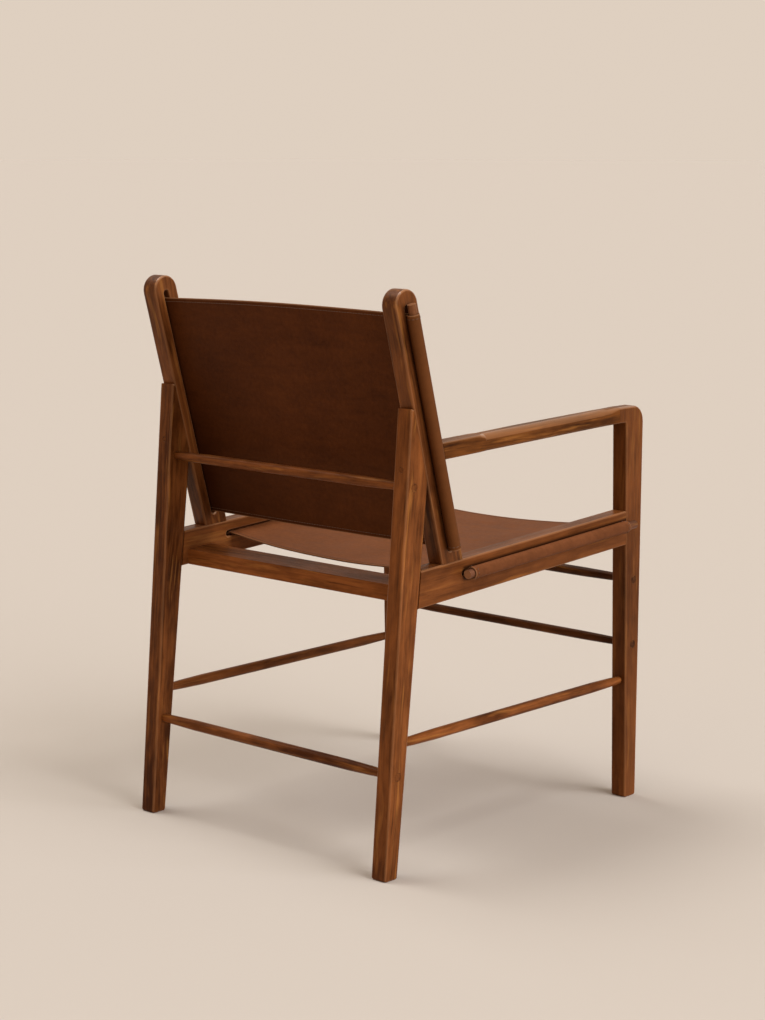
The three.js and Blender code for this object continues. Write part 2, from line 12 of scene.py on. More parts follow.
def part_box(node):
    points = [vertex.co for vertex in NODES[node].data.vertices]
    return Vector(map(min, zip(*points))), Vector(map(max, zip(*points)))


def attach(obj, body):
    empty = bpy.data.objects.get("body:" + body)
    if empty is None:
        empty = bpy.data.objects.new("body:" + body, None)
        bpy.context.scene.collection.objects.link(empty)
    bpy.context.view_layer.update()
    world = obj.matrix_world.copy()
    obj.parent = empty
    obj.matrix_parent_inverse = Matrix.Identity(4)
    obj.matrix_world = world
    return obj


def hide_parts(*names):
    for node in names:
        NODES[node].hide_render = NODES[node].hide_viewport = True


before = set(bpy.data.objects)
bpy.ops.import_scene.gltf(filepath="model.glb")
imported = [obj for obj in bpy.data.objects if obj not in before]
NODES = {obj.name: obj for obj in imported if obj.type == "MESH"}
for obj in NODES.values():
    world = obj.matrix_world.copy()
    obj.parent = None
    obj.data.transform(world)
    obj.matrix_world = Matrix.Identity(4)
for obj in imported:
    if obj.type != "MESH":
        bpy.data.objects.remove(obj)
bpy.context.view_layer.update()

# Rear legs: two raked boards of dark oiled hardwood, planed to a taper and eased along their edges. Each is
# cut to the slope of the back post that it stands behind, and pegged to it.
REAR_LEG_RAKE = math.radians(-5.5)

# The radius to which the boards' edges are eased.
ARRIS = 0.0025


def socket(tree, name, kind, way, value=None):
    """Gives a node group an input or an output."""
    made = tree.interface.new_socket(name=name, in_out=way, socket_type=kind)
    if value is not None:
        made.default_value = value


def feed(tree, where, value):
    """Gives an input a value, or the output of another node."""
    if isinstance(value, bpy.types.NodeSocket):
        tree.links.new(value, where)
    else:
        where.default_value = value


def node(tree, kind, links=(), **settings):
    """Adds a node with its properties and inputs."""
    made = tree.nodes.new(kind)
    for name, value in settings.items():
        setattr(made, name, value)
    for where, value in dict(links).items():
        feed(tree, made.inputs[where], value)
    return made


def blend(tree, factor, a, b):
    """Mixes two colours."""
    return node(tree, "ShaderNodeMix", {0: factor, 6: a, 7: b}, data_type="RGBA").outputs[2]


def math_of(tree, operation, a, b=0.0):
    """One sum on two values, or on the first alone."""
    return node(tree, "ShaderNodeMath", {0: a, 1: b}, operation=operation).outputs[0]


def vector_of(tree, operation, a, b):
    """One sum on two places or colours, part by part."""
    return node(tree, "ShaderNodeVectorMath", {0: a, 1: b}, operation=operation).outputs[0]


def length_of(tree, place):
    """How far a place is from the origin."""
    return node(tree, "ShaderNodeVectorMath", {0: place}, operation="LENGTH").outputs["Value"]


def weighted(tree, parts):
    """The sum of values, each times its weight."""
    total = 0.0
    for value, weight in parts:
        total = node(tree, "ShaderNodeMath", {0: value, 1: weight, 2: total},
                     operation="MULTIPLY_ADD").outputs[0]
    return total


def span(tree, value, low, high, to_low=0.0, to_high=1.0):
    """Stretches a range of a value over another range, and holds it at the ends."""
    return node(tree, "ShaderNodeMapRange", {"Value": value, "From Min": low, "From Max": high,
                                             "To Min": to_low, "To Max": to_high}).outputs["Result"]


def patches(tree, place, per_metre, detail, roughness=0.5):
    """Cloudy noise, so many patches to the metre along each axis."""
    spread = vector_of(tree, "MULTIPLY", place, per_metre)
    return node(tree, "ShaderNodeTexNoise", {"Vector": spread, "Scale": 1.0, "Detail": detail,
                                             "Roughness": roughness}).outputs


def wood_grain():
    """The figure of the timber, which grew along Z: rings, fibres, pores, dark streaks and cloudy patches.
    Wear and Light rises from 0 to 1 where the oil is rubbed off and where a painted highlight lies on arrises
    and tops that look up, and falls to -1.5 where oil gathers with dust on end grain and where painted shade
    lies in creases."""
    tree = bpy.data.node_groups.new("wood_grain", "ShaderNodeTree")
    socket(tree, "Place", "NodeSocketVector", "INPUT")
    socket(tree, "Dark", "NodeSocketColor", "INPUT", (0.05, 0.02, 0.01, 1))
    socket(tree, "Light", "NodeSocketColor", "INPUT", (0.2, 0.08, 0.03, 1))
    socket(tree, "Figure", "NodeSocketFloat", "INPUT", 1.0)
    socket(tree, "Wear and Light", "NodeSocketFloat", "INPUT", 0.0)
    socket(tree, "Color", "NodeSocketColor", "OUTPUT")
    socket(tree, "Roughness", "NodeSocketFloat", "OUTPUT")
    socket(tree, "Height", "NodeSocketFloat", "OUTPUT")
    given = node(tree, "NodeGroupInput").outputs
    out = node(tree, "NodeGroupOutput")

    # The fibres wander up to a centimetre from the straight, so the patterns are read at a swayed place.
    wander = patches(tree, given["Place"], (11, 11, 4.5), 2)["Color"]
    centred = vector_of(tree, "SUBTRACT", wander, (0.5, 0.5, 0.5))
    sway = vector_of(tree, "MULTIPLY", centred, (0.02, 0.02, 0.0))
    swayed = vector_of(tree, "ADD", given["Place"], sway)

    # The rings are slender cones round the pith, about 7 mm apart.
    ring_rate = 900.0
    from_pith = length_of(tree, vector_of(tree, "MULTIPLY", swayed, (1.0, 1.0, 0.03)))
    wobble = patches(tree, swayed, (34, 34, 9), 3)["Fac"]
    wave = math_of(tree, "SINE", weighted(tree, ((from_pith, ring_rate), (wobble, 16.0))))
    rings = span(tree, wave, -1.0, 1.0)

    fibres = patches(tree, swayed, (480, 480, 14), 4, 0.7)["Fac"]
    bands = patches(tree, swayed, (110, 110, 4.5), 3, 0.6)["Fac"]
    mottle = patches(tree, swayed, (70, 70, 26), 4, 0.6)["Fac"]
    clouds = patches(tree, swayed, (19, 19, 6), 3, 0.55)["Fac"]
    broad = patches(tree, given["Place"], (5, 5, 3.5), 2)["Fac"]
    streaks = span(tree, patches(tree, swayed, (190, 190, 7), 2, 0.4)["Fac"], 0.6, 0.7)
    gleams = span(tree, patches(tree, swayed, (140, 140, 9), 3, 0.5)["Fac"], 0.58, 0.72)
    pores = span(tree, patches(tree, swayed, (1300, 1300, 34), 1)["Fac"], 0.6, 0.7)

    # The patterns' sum is stretched by the contrast, and the middle of its range is then brought to 0.
    contrast = 2.27
    middle = 2.91
    figure = weighted(tree, ((rings, 0.06), (fibres, 0.3), (bands, 0.42), (mottle, 0.45), (clouds, 0.85),
                             (broad, 0.5)))
    centred_figure = weighted(tree, ((figure, contrast), (-1.0, middle)))
    tone = span(tree, math_of(tree, "MULTIPLY", centred_figure, given["Figure"]), -0.5, 0.5)
    shown_gleams = math_of(tree, "MULTIPLY", gleams, given["Figure"])
    shown_streaks = math_of(tree, "MULTIPLY", streaks, given["Figure"])
    # Pale where rubbed bare and as painted highlight; dark where oil gathers and as painted shade.
    wear_and_painted_light = span(tree, given["Wear and Light"], 0.0, 1.0)
    gathered_and_shade = span(tree, given["Wear and Light"], -1.5, 0.0, 0.9, 0.0)

    golden = (0.42, 0.165, 0.036, 1)
    dark_streak = (0.020, 0.0050, 0.0014, 1)
    rubbed_bare_and_highlight = (0.50, 0.245, 0.115, 1)
    gathered_oil_and_shade = (0.020, 0.0060, 0.0022, 1)
    tint = blend(tree, tone, given["Dark"], given["Light"])
    tint = blend(tree, weighted(tree, ((shown_gleams, 0.38),)), tint, golden)
    tint = blend(tree, weighted(tree, ((shown_streaks, 0.42), (pores, 0.25))), tint, dark_streak)
    tint = blend(tree, weighted(tree, ((wear_and_painted_light, 0.6),)), tint, rubbed_bare_and_highlight)
    tint = blend(tree, gathered_and_shade, tint, gathered_oil_and_shade)
    roughness = weighted(tree, ((tone, -0.06), (mottle, 0.14), (pores, 0.15), (wear_and_painted_light, -0.06), (1.0, 0.32)))
    height = weighted(tree, ((fibres, 1.0), (pores, -0.9), (rings, 0.25), (clouds, 1.5)))
    feed(tree, out.inputs["Color"], tint)
    feed(tree, out.inputs["Roughness"], roughness)
    feed(tree, out.inputs["Height"], height)
    return tree


GRAIN = wood_grain()


def oiled_wood(name, turn, pith, shade=1.0, dark=(0.052, 0.0122, 0.0020), light=(0.250, 0.0765, 0.0185),
               figure=1.0, gloss=0.09):
    """The chair's timber. turn lays the grain along the part, pith places the tree's heart beside it, shade
    makes a board lighter or darker than its neighbours, partly as the board's own tone and partly as painted
    shade where the board stands in shadow, figure makes its grain stronger or weaker, and gloss sets its
    sheen. Where the mark of wear and painted highlight on the part passes 0.4, the wood is polished too."""
    material = bpy.data.materials.new(name)
    material.use_nodes = True
    tree = material.node_tree
    shader = tree.nodes["Principled BSDF"]
    place = node(tree, "ShaderNodeTexCoord").outputs["Object"]
    laid = node(tree, "ShaderNodeMapping", {"Vector": place, "Location": pith, "Rotation": turn},
                name="laid")
    wear_and_light = node(tree, "ShaderNodeAttribute", name="wear_and_light", attribute_name="wear_and_light").outputs["Fac"]
    grain = node(tree, "ShaderNodeGroup", name="grain", node_tree=GRAIN)
    feed(tree, grain.inputs["Place"], laid.outputs[0])
    feed(tree, grain.inputs["Wear and Light"], wear_and_light)
    feed(tree, grain.inputs["Dark"], (*(shade * part for part in dark), 1))
    feed(tree, grain.inputs["Light"], (*(shade * part for part in light), 1))
    feed(tree, grain.inputs["Figure"], figure)
    bump = node(tree, "ShaderNodeBump", {"Height": grain.outputs["Height"], "Strength": 0.3,
                                         "Distance": 0.0005})
    feed(tree, shader.inputs["Base Color"], grain.outputs["Color"])
    feed(tree, shader.inputs["Roughness"], grain.outputs["Roughness"])
    feed(tree, shader.inputs["Normal"], bump.outputs[0])
    feed(tree, shader.inputs["Coat Weight"], span(tree, wear_and_light, 0.4, 0.75))
    feed(tree, shader.inputs["Coat Roughness"], 0.17)
    feed(tree, shader.inputs["Specular IOR Level"], gloss)
    feed(tree, shader.inputs["Specular Tint"], (1.0, 0.70, 0.47, 1))
    return material


def arris_wear_and_highlight(face):
    """How pale a face of a board's eased arris is made, or None for the board's other faces: a little for
    wear, and more where it looks up, most round a curve, as a painted highlight. Faces of an arris are
    narrow, and short too where it goes round a curve."""
    lengths = [edge.calc_length() for edge in face.edges]
    narrow = min(lengths) < 1.2 * ARRIS
    slanted = 0.1 < abs(face.normal.x) < 0.98
    if not (narrow and slanted):
        return None
    most = 0.75 if max(lengths) < 2.0 * ARRIS else 0.35
    return 0.2 + most * max(0.0, face.normal.z)


def dressed(name, slot, material, rubbed=0.0, axis=None, end_wear=-0.5):
    """A smooth-faced copy of a wooden part, which takes the part's place. Each face is marked with its wear
    and painted light: rubbed is that of a face that looks up, partly wear and partly painted light from
    above, and end_wear that of an end across the axis."""
    merged_within = 0.00002
    flat_within = math.radians(0.6)
    sharp_from = math.radians(50)
    mesh = NODES[name].data.copy()
    shape = bmesh.new()
    shape.from_mesh(mesh)
    bmesh.ops.remove_doubles(shape, verts=shape.verts, dist=merged_within)
    bmesh.ops.dissolve_limit(shape, angle_limit=flat_within, verts=shape.verts, edges=shape.edges)
    mark = shape.faces.layers.float.new("wear_and_light")
    for face in shape.faces:
        face.smooth = True
        eased = arris_wear_and_highlight(face) if slot == "frame_wood" else None
        if axis and abs(face.normal.dot(axis)) > 0.9:
            face[mark] = end_wear
        elif eased is not None:
            face[mark] = eased
        else:
            face[mark] = rubbed * max(0.0, face.normal.z)
    shape.to_mesh(mesh)
    shape.free()
    mesh.set_sharp_from_angle(angle=sharp_from)
    mesh.materials.clear()
    mesh.materials.append(material)
    piece = bpy.data.objects.new(f"{name}_wood", mesh)
    bpy.context.scene.collection.objects.link(piece)
    even = piece.modifiers.new("even_faces", "WEIGHTED_NORMAL")
    even.keep_sharp = True
    even.weight = 100
    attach(piece, "root")
    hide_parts(name)


for side, pith, shade in (("left", (0.31, 0.06, 0.2), 0.8), ("right", (0.33, -0.05, 0.9), 0.88)):
    material = oiled_wood(f"rear_leg_{side}_wood", (REAR_LEG_RAKE, 0, 0), pith, shade)
    dressed(f"rear_leg_{side}", "frame_wood", material)

# Back posts: two leaning boards of the same timber with a full round top. A long slot for the back leather
# is cut through each from side to side, and the foot is tenoned into the side rail.
POST_LEAN = math.radians(15)

# Half of a slot's width, and half of the frame's width over the outer faces of its boards.
SLOT_HALF = 0.0045
OUTSIDE_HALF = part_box("rear_leg_left")[1].x


def shade_beside_loop(material, lean, pith, dowel, painted_shade):
    """Darkens the crease between a board's outer face and the loop of leather on it with painted shade. The
    dowel in the loop lies along the board's grain, so the crease is read from the laid grain."""
    tree = material.node_tree
    low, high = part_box(dowel)
    middle = Matrix.Rotation(lean, 3, "X") @ ((low + high) / 2) + Vector(pith)
    lip = math.hypot(abs(low.x + high.x) / 2 - OUTSIDE_HALF, SLOT_HALF + ARRIS)
    dark_to = lip + 0.0008
    unshaded_from = lip + 0.0034
    half = (high - low).length / 2
    fade = 0.006
    off = vector_of(tree, "SUBTRACT", tree.nodes["laid"].outputs[0], middle)
    aside = length_of(tree, vector_of(tree, "MULTIPLY", off, (1, 1, 0)))
    along = length_of(tree, vector_of(tree, "MULTIPLY", off, (0, 0, 1)))
    beside = span(tree, aside, dark_to, unshaded_from, 1.0, 0.0)
    within = span(tree, along, half - fade, half, 1.0, 0.0)
    crease = math_of(tree, "MULTIPLY", beside, within)
    wear_and_painted_light = weighted(tree, ((tree.nodes["wear_and_light"].outputs["Fac"], 1.0), (crease, -painted_shade)))
    feed(tree, tree.nodes["grain"].inputs["Wear and Light"], wear_and_painted_light)


for side, pith, shade in (("left", (-0.16, 0.07, 0.4), 0.74), ("right", (0.34, 0.05, 0.1), 0.7)):
    material = oiled_wood(f"back_post_{side}_wood", (POST_LEAN, 0, 0), pith, shade, gloss=0.14)
    # The crease beside the loop gets painted shade.
    shade_beside_loop(material, POST_LEAN, pith, f"back_dowel_{side}", painted_shade=0.8)
    dressed(f"back_post_{side}", "frame_wood", material)

# Side rails: two deep boards of the same timber that rise towards the front. Each has a long slot for the
# seat leather and is tenoned into a rear and a front leg.
RAIL_TURN = math.radians(-90 + 3.2)
for side, pith in (("left", (-0.17, -0.35, 0.3)), ("right", (0.31, -0.37, 0.7))):
    material = oiled_wood(f"side_rail_{side}_wood", (RAIL_TURN, 0, 0), pith, shade=0.86, figure=0.6)
    # The crease beside the loop gets painted shade.
    shade_beside_loop(material, RAIL_TURN, pith, f"seat_dowel_{side}", painted_shade=1.5)
    dressed(f"side_rail_{side}", "frame_wood", material)

# Front legs: two nearly upright boards of the same timber. The head of each is cut from the same board, and
# reaches back to carry the armrest.
FRONT_LEG_LEAN = math.radians(0.6)
for side, pith in (("left", (-0.2, 0.33, 0.5)), ("right", (0.3, 0.36, 0.15))):
    material = oiled_wood(f"front_leg_{side}_wood", (FRONT_LEG_LEAN, 0, 0), pith, shade=0.79, figure=0.6)
    dressed(f"front_leg_{side}", "frame_wood", material)

# Armrests: two darker rails of hardwood between the back post and the front leg's head, square behind and
# shaped to a rounded grip in front of a short scooped shoulder. They are pinned at both ends.
ARM_TURN = math.radians(-88.2)
for side, pith in (("left", (-0.19, -0.56, 0.1)), ("right", (0.29, -0.57, 0.6))):
    material = oiled_wood(f"armrest_{side}_wood", (ARM_TURN, 0, 0), pith,
                          dark=(0.033, 0.0094, 0.0021), light=(0.172, 0.0535, 0.0105), gloss=0.05)
    # Their tops are made paler, partly as wear and partly as painted light from above.
    dressed(f"armrest_{side}", "frame_wood", material, rubbed=0.1)

# Rear seat rail: one flat bar of the same timber under the back, which ties the side rails together. Its
# ends are tenoned into them.
ACROSS = (0, math.radians(-90), 0)
material = oiled_wood("rear_seat_rail_wood", ACROSS, (-0.33, -0.1, 0.2), gloss=0.04)
dressed("rear_seat_rail", "frame_wood", material)

# Round bars: the back rail and the stretchers, of the same timber, rounded by hand and thinned where they
# enter the legs. Those that run across the chair come through and show their ends outside.
for number, name in enumerate(("back_rail", "rear_stretcher", "front_upper_stretcher",
                               "front_lower_stretcher")):
    pith = (0.05 - 0.1 * number, 0.02, 0.1 * number)
    # The front stretchers, under the seat, are darkened as painted shade.
    shade = 0.6 if name.startswith("front") else 1.0
    material = oiled_wood(f"{name}_wood", ACROSS, pith, shade)
    dressed(name, "bar_wood", material, axis=Vector((1, 0, 0)))
FORE_AND_AFT = (math.radians(-90), 0, 0)
# The far side stretcher, on the sitter's left, is darkened as painted shade.
for side, shade in (("left", 0.7), ("right", 1.0)):
    material = oiled_wood(f"side_stretcher_{side}_wood", FORE_AND_AFT, (0.3, -0.15, 0.0), shade)
    dressed(f"side_stretcher_{side}", "bar_wood", material)

# Dowels: four round rods of paler wood. One lies in each loop of leather on the outside of its board, too
# thick to be drawn through the slot, and its worn ends show beyond the leather.
UP_THE_BACK = Vector((0, math.sin(POST_LEAN), math.cos(POST_LEAN)))
for side in ("left", "right"):
    material = oiled_wood(f"back_dowel_{side}_wood", (POST_LEAN, 0, 0), (0.2, 0.02, 0.3),
                          dark=(0.09, 0.030, 0.012), light=(0.34, 0.135, 0.055))
    dressed(f"back_dowel_{side}", "bar_wood", material, axis=UP_THE_BACK, end_wear=0.6)
    material = oiled_wood(f"seat_dowel_{side}_wood", (RAIL_TURN, 0, 0), (0.2, -0.4, 0.5),
                          dark=(0.09, 0.034, 0.017), light=(0.26, 0.105, 0.054))
    dressed(f"seat_dowel_{side}", "bar_wood", material, axis=Vector((0, 1, 0)), end_wear=0.9)

# Pegs and pins: round hardwood pegs through the rear legs into the posts, their ends cut flush, and the
# hidden pins that hold the armrests.
DRIVEN_IN = (math.radians(90), 0, 0)
for side in ("left", "right"):
    peg_wood = oiled_wood(f"pin_{side}_wood", DRIVEN_IN, (0.01, 0.01, 0.0),
                          dark=(0.045, 0.012, 0.003), light=(0.17, 0.050, 0.011))
    for name in (f"leg_peg_{side}", f"arm_rear_pin_{side}", f"arm_front_pin_{side}"):
        dressed(name, "pin_wood", peg_wood)

# Slings: the back and the seat are each one sheet of thick dark brown saddle leather. It passes out
# through the slots, goes round a dowel and comes back into the slot, and a row of waxed thread stitches
# runs inside each free edge.

# The leather's thickness, the gap that it leaves round a dowel, and half of the width between the boards.
LEATHER = 0.0024
DOWEL_GAP = 0.0003
INSIDE_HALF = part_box("rear_leg_left")[0].x


def leather_grain():
    """The surface of the hide: fine pebbling, creases and cloudy tone, and a painted highlight along the
    sheet's long edges. Edge is the way in from the sheet's nearest long edge, in metres, the input Painted
    Light how far it is paled as painted light, and the input Painted Shade how far it is darkened as painted
    shade."""
    tree = bpy.data.node_groups.new("leather_grain", "ShaderNodeTree")
    socket(tree, "Place", "NodeSocketVector", "INPUT")
    socket(tree, "Edge", "NodeSocketFloat", "INPUT", 1.0)
    socket(tree, "Painted Light", "NodeSocketFloat", "INPUT", 0.0)
    socket(tree, "Painted Shade", "NodeSocketFloat", "INPUT", 0.0)
    socket(tree, "Dark", "NodeSocketColor", "INPUT", (0.03, 0.012, 0.006, 1))
    socket(tree, "Light", "NodeSocketColor", "INPUT", (0.08, 0.034, 0.018, 1))
    socket(tree, "Color", "NodeSocketColor", "OUTPUT")
    socket(tree, "Roughness", "NodeSocketFloat", "OUTPUT")
    socket(tree, "Height", "NodeSocketFloat", "OUTPUT")
    given = node(tree, "NodeGroupInput").outputs
    out = node(tree, "NodeGroupOutput")
    pebble = node(tree, "ShaderNodeTexVoronoi", {"Vector": given["Place"], "Scale": 620.0},
                  feature="SMOOTH_F1").outputs["Distance"]
    creases = patches(tree, given["Place"], (150, 150, 150), 5, 0.66)["Fac"]
    clouds = patches(tree, given["Place"], (7, 7, 7), 4, 0.6)["Fac"]
    marks = patches(tree, given["Place"], (42, 42, 42), 3, 0.62)["Fac"]
    rubbed = patches(tree, given["Place"], (10, 66, 30), 3, 0.6)["Fac"]
    tone = weighted(tree, ((clouds, 0.7), (marks, 0.35), (rubbed, 0.45), (creases, 0.6)))
    # A painted highlight along the sheet's long edges.
    edge_highlight = span(tree, given["Edge"], 0.0007, 0.0017, 0.55, 0.0)

    # Tones for painted light, painted shade and the painted edge highlight.
    painted_light_tone = (0.180, 0.069, 0.0225, 1)
    painted_shade_tone = (0.022, 0.0050, 0.0014, 1)
    painted_edge_highlight = (0.34, 0.165, 0.08, 1)
    tint = blend(tree, span(tree, tone, 0.7, 1.45), given["Dark"], given["Light"])
    tint = blend(tree, given["Painted Light"], tint, painted_light_tone)
    tint = blend(tree, given["Painted Shade"], tint, painted_shade_tone)
    tint = blend(tree, edge_highlight, tint, painted_edge_highlight)
    feed(tree, out.inputs["Color"], tint)
    feed(tree, out.inputs["Roughness"], weighted(tree, ((marks, 0.16), (rubbed, 0.12), (1.0, 0.42))))
    feed(tree, out.inputs["Height"], weighted(tree, ((pebble, 1.0), (creases, 1.4), (marks, 1.5))))
    return tree


HIDE = leather_grain()


def saddle_leather(name, dark, light):
    """The hide in its two tones. Its node named hide still has to be told where it lies."""
    material = bpy.data.materials.new(name)
    material.use_nodes = True
    tree = material.node_tree
    shader = tree.nodes["Principled BSDF"]
    hide = node(tree, "ShaderNodeGroup", name="hide", node_tree=HIDE)
    feed(tree, hide.inputs["Dark"], (*dark, 1))
    feed(tree, hide.inputs["Light"], (*light, 1))
    bump = node(tree, "ShaderNodeBump", {"Height": hide.outputs["Height"], "Strength": 0.35,
                                         "Distance": 0.0004})
    feed(tree, shader.inputs["Base Color"], hide.outputs["Color"])
    feed(tree, shader.inputs["Roughness"], hide.outputs["Roughness"])
    feed(tree, shader.inputs["Normal"], bump.outputs[0])
    feed(tree, shader.inputs["Specular IOR Level"], 0.06)
    feed(tree, shader.inputs["Specular Tint"], (1.0, 0.62, 0.36, 1))
    return material


def cut_edge():
    """The sheet's cut edge, where the paler inside of the hide shows."""
    material = saddle_leather("leather_edge", dark=(0.10, 0.040, 0.017), light=(0.26, 0.12, 0.055))
    tree = material.node_tree
    place = node(tree, "ShaderNodeTexCoord").outputs["Object"]
    feed(tree, tree.nodes["hide"].inputs["Place"], place)
    return material


def leather_face(name, dark, light, length, loops_painted_light, loops_painted_shade, painted_shadow):
    """The hide laid out on a flat sheet of this length, with a painted highlight along its two long edges. It
    is paler by loops_painted_light from the boards' outer faces on, as painted light on the loops, and darker
    by loops_painted_shade on the far part of the loops, as painted shade. By painted_shadow it is darker
    towards the sitter's left and the sheet's foot, as a painted shadow."""
    material = saddle_leather(name, dark, light)
    tree = material.node_tree
    hide = tree.nodes["hide"]
    place = node(tree, "ShaderNodeUVMap", uv_map="flat").outputs[0]
    flat = node(tree, "ShaderNodeSeparateXYZ", {0: place}).outputs
    aside = math_of(tree, "ABSOLUTE", flat["X"])
    wear_and_painted_light = span(tree, aside, OUTSIDE_HALF, OUTSIDE_HALF + 0.006, 0.0, loops_painted_light)
    painted_shade = span(tree, aside, OUTSIDE_HALF + 0.014, OUTSIDE_HALF + 0.021, 0.0, loops_painted_shade)
    leftward = span(tree, flat["X"], 0.02, INSIDE_HALF)
    downward = span(tree, flat["Y"], 0.12 * length, 0.85 * length, 1.0, 0.35)
    inside = span(tree, aside, INSIDE_HALF, OUTSIDE_HALF, painted_shadow, 0.0)
    painted_shadow_mask = math_of(tree, "MULTIPLY", math_of(tree, "MULTIPLY", leftward, downward), inside)
    feed(tree, hide.inputs["Place"], place)
    feed(tree, hide.inputs["Edge"], math_of(tree, "PINGPONG", flat["Y"], length / 2))
    feed(tree, hide.inputs["Painted Light"], wear_and_painted_light)
    feed(tree, hide.inputs["Painted Shade"], weighted(tree, ((painted_shadow_mask, 1.0), (painted_shade, 1.0))))
    return material


def loop_route(dowel):
    """The sheet's middle line, as (x, height), from a board's inner face through the slot, round the dowel
    and back into the slot. Its straight flanks clear the slot's eased lip and touch the ring that the line
    makes round the dowel, and the flap lies under the sheet."""
    slot_steps = 6
    flank_steps = 5
    ring_steps = 40
    flap_drop = 1.02 * LEATHER
    low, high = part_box(dowel)
    centre = (low.x + high.x) / 2
    ring = (high.x - low.x) / 2 + DOWEL_GAP + LEATHER / 2
    standoff = centre - (OUTSIDE_HALF - ARRIS)
    across = SLOT_HALF + ARRIS
    clear = ring + LEATHER / 2 + ARRIS + DOWEL_GAP
    flank = math.pi - math.atan2(across, standoff) - math.acos(clear / math.hypot(standoff, across))
    neck = centre + (ring - LEATHER / 2 * math.sin(flank)) / math.cos(flank)
    leave = (centre + ring * math.cos(flank), ring * math.sin(flank))
    slot = [(INSIDE_HALF + (neck - INSIDE_HALF) * k / slot_steps, LEATHER / 2 * k / slot_steps)
            for k in range(1, slot_steps + 1)]
    side = [(neck + (leave[0] - neck) * k / flank_steps,
             LEATHER / 2 + (leave[1] - LEATHER / 2) * k / flank_steps) for k in range(1, flank_steps)]
    turns = [flank * (1 - 2 * k / ring_steps) for k in range(ring_steps + 1)]
    arc = [(centre + ring * math.cos(turn), ring * math.sin(turn)) for turn in turns]
    flap = [(x, h - flap_drop) for x, h in reversed(slot[1:-1])]
    return slot + side + arc + [(x, -h) for x, h in reversed(side)] + [(neck, -LEATHER / 2)] + flap


class Sheet:
    """A sling. Its columns, as (way along the hide, x, height), follow one another across the chair, and v
    runs from 0 to 1 along the slot. Between the boards it hangs down by sag, and at v = 1 by flatter less.
    A crown makes its edge there longer in the middle."""

    def __init__(self, dowel, corner, lean, length, sag, flatter, crown):
        field_steps = 30
        self.corner = Vector(corner)
        self.up = Vector((math.sin(lean), math.cos(lean)))
        self.out = Vector((math.cos(lean), -math.sin(lean)))
        self.length = length
        self.sag = sag
        self.flatter = flatter
        self.crown = crown
        half = [(INSIDE_HALF * k / field_steps, 0.0) for k in range(field_steps + 1)] + loop_route(dowel)
        ahead = [(0.0, *half[0])]
        for (x0, h0), (x1, h1) in zip(half, half[1:]):
            drop = self.drop(x1, h1, 0.5) - self.drop(x0, h0, 0.5)
            ahead.append((ahead[-1][0] + math.hypot(x1 - x0, h1 - h0 - drop), x1, h1))
        self.columns = [(-s, -x, h) for s, x, h in ahead[:0:-1]] + ahead

    def share(self, x, h):
        """How far a place between the boards is from them: 0 at the boards and 1 in the middle."""
        return max(0.0, 1 - (x / INSIDE_HALF) ** 2) if h == 0.0 else 0.0

    def drop(self, x, h, v):
        """How far the sheet hangs below the straight line between the boards."""
        return (self.sag - self.flatter * v) * self.share(x, h)

    def at(self, s, x, h, v, lift=(0.0, 0.0)):
        """The place of a point on the sheet's middle surface, or lifted off it. Soft ripples lie over the
        sheet, about eight to the metre across the chair and three or four in all along the slot."""
        ripple_height = 0.0011
        middle = self.share(x, h)
        along = v * self.length + self.crown * middle * v ** 4
        ripple = ripple_height * middle * noise.noise(Vector((s * 8, v * 3.5, 3.1)))
        height = h - self.drop(x, h, v) + ripple + lift[1]
        spot = self.corner + self.up * along + self.out * height
        return Vector((x + lift[0], spot.x, spot.y))


def sheet_piece(name, sheet):
    """The hide itself: a flat grid laid along the sheet's columns, then given its thickness and its slightly
    rounded cut edges."""
    last = len(sheet.columns) - 1
    rows = 48
    shape = bmesh.new()
    bmesh.ops.create_grid(shape, x_segments=last, y_segments=rows, size=0.5)
    flat_uv = shape.loops.layers.uv.new("flat")
    flat_at = {}
    for vert in shape.verts:
        s, x, h = sheet.columns[round((vert.co.x + 0.5) * last)]
        v = round((vert.co.y + 0.5) * rows) / rows
        flat_at[vert] = (s, v * sheet.length)
        vert.co = sheet.at(s, x, h, v)
    for face in shape.faces:
        face.smooth = True
        for corner in face.loops:
            corner[flat_uv].uv = flat_at[corner.vert]
    bmesh.ops.recalc_face_normals(shape, faces=shape.faces)
    mesh = bpy.data.meshes.new(name)
    shape.to_mesh(mesh)
    shape.free()
    piece = bpy.data.objects.new(name, mesh)
    bpy.context.scene.collection.objects.link(piece)
    thick = piece.modifiers.new("thickness", "SOLIDIFY")
    thick.thickness = LEATHER
    thick.offset = 0
    thick.material_offset_rim = 1
    eased = piece.modifiers.new("cut_edges", "BEVEL")
    eased.width = 0.0006
    eased.segments = 2
    eased.limit_method = "ANGLE"
    eased.angle_limit = math.radians(60)
    return piece


def waxed_thread():
    """Brown waxed linen thread, a little fuzzy."""
    waxed = (0.045, 0.016, 0.006, 1)
    dry = (0.15, 0.062, 0.026, 1)
    material = bpy.data.materials.new("waxed_thread")
    material.use_nodes = True
    tree = material.node_tree
    shader = tree.nodes["Principled BSDF"]
    place = node(tree, "ShaderNodeTexCoord").outputs["Object"]
    fuzz = patches(tree, place, (900, 900, 900), 2)["Fac"]
    feed(tree, shader.inputs["Base Color"], blend(tree, fuzz, waxed, dry))
    feed(tree, shader.inputs["Roughness"], span(tree, fuzz, 0.3, 0.7, 0.5, 0.7))
    return material


STITCH_PITCH = 0.0052
STITCH_LENGTH = 0.0042
STITCH_INSET = 0.0055
THREAD_RADIUS = 0.00045


